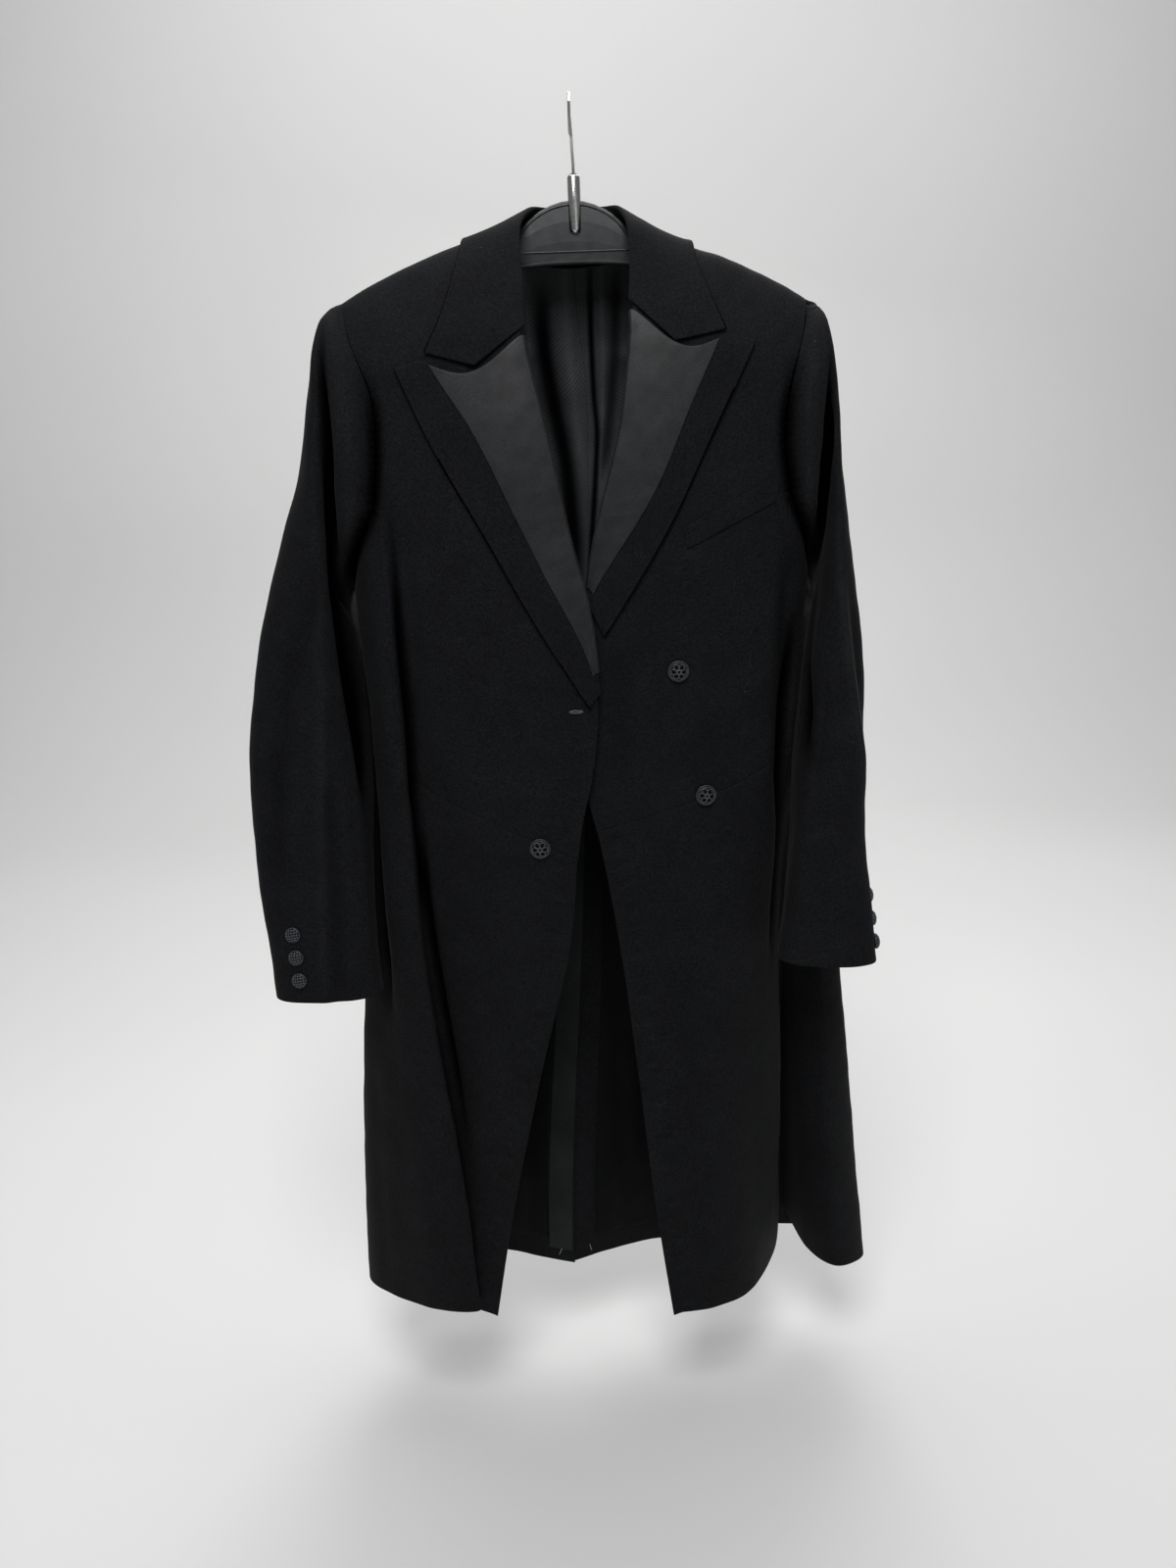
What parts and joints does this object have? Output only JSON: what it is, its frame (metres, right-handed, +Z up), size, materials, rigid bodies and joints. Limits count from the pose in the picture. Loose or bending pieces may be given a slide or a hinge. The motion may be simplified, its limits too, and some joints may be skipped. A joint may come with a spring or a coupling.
{
  "type": "frock coat on a coat hanger",
  "caption": "Long double-breasted black evening frock coat with silk-faced peak lapels, hung on a shaped plastic hanger with a wire hook.",
  "frame": {"origin": "inside of the top of the hanger's hook, where a rail or wall hook holds it", "axes": "+Z up, -Y out of the coat's front, +X towards the wearer's left"},
  "size_m": [0.6152, 0.1964, 1.1875],
  "materials": {
    "wool": "matt black wool barathea",
    "silk": "black corded silk",
    "lining": "black twill lining",
    "button": "black cord worked over a mould",
    "hanger": "satin black moulded plastic",
    "wire": "plated steel wire"
  },
  "bodies": {
    "root": {"back_button_left": "button", "back_button_right": "button", "back_left": "wool", "back_lining_left": "lining", "back_lining_right": "lining", "back_right": "wool", "breast_pocket_welt": "wool", "collar": "wool", "cuff_button_left_1": "button", "cuff_button_left_2": "button", "cuff_button_left_3": "button", "cuff_button_right_1": "button", "cuff_button_right_2": "button", "cuff_button_right_3": "button", "forepart_left": "wool", "forepart_right": "wool", "front_button_lower": "button", "front_button_right": "button", "front_button_upper": "button", "hanger": "hanger", "hook": "wire", "lapel_left": "wool", "lapel_right": "wool", "side_body_left": "wool", "side_body_right": "wool", "silk_facing_left": "silk", "silk_facing_right": "silk", "skirt_left": "wool", "skirt_lining_left": "lining", "skirt_lining_right": "lining", "skirt_right": "wool", "top_sleeve_left": "wool", "top_sleeve_right": "wool", "under_sleeve_left": "wool", "under_sleeve_right": "wool"}
  },
  "joints": []
}
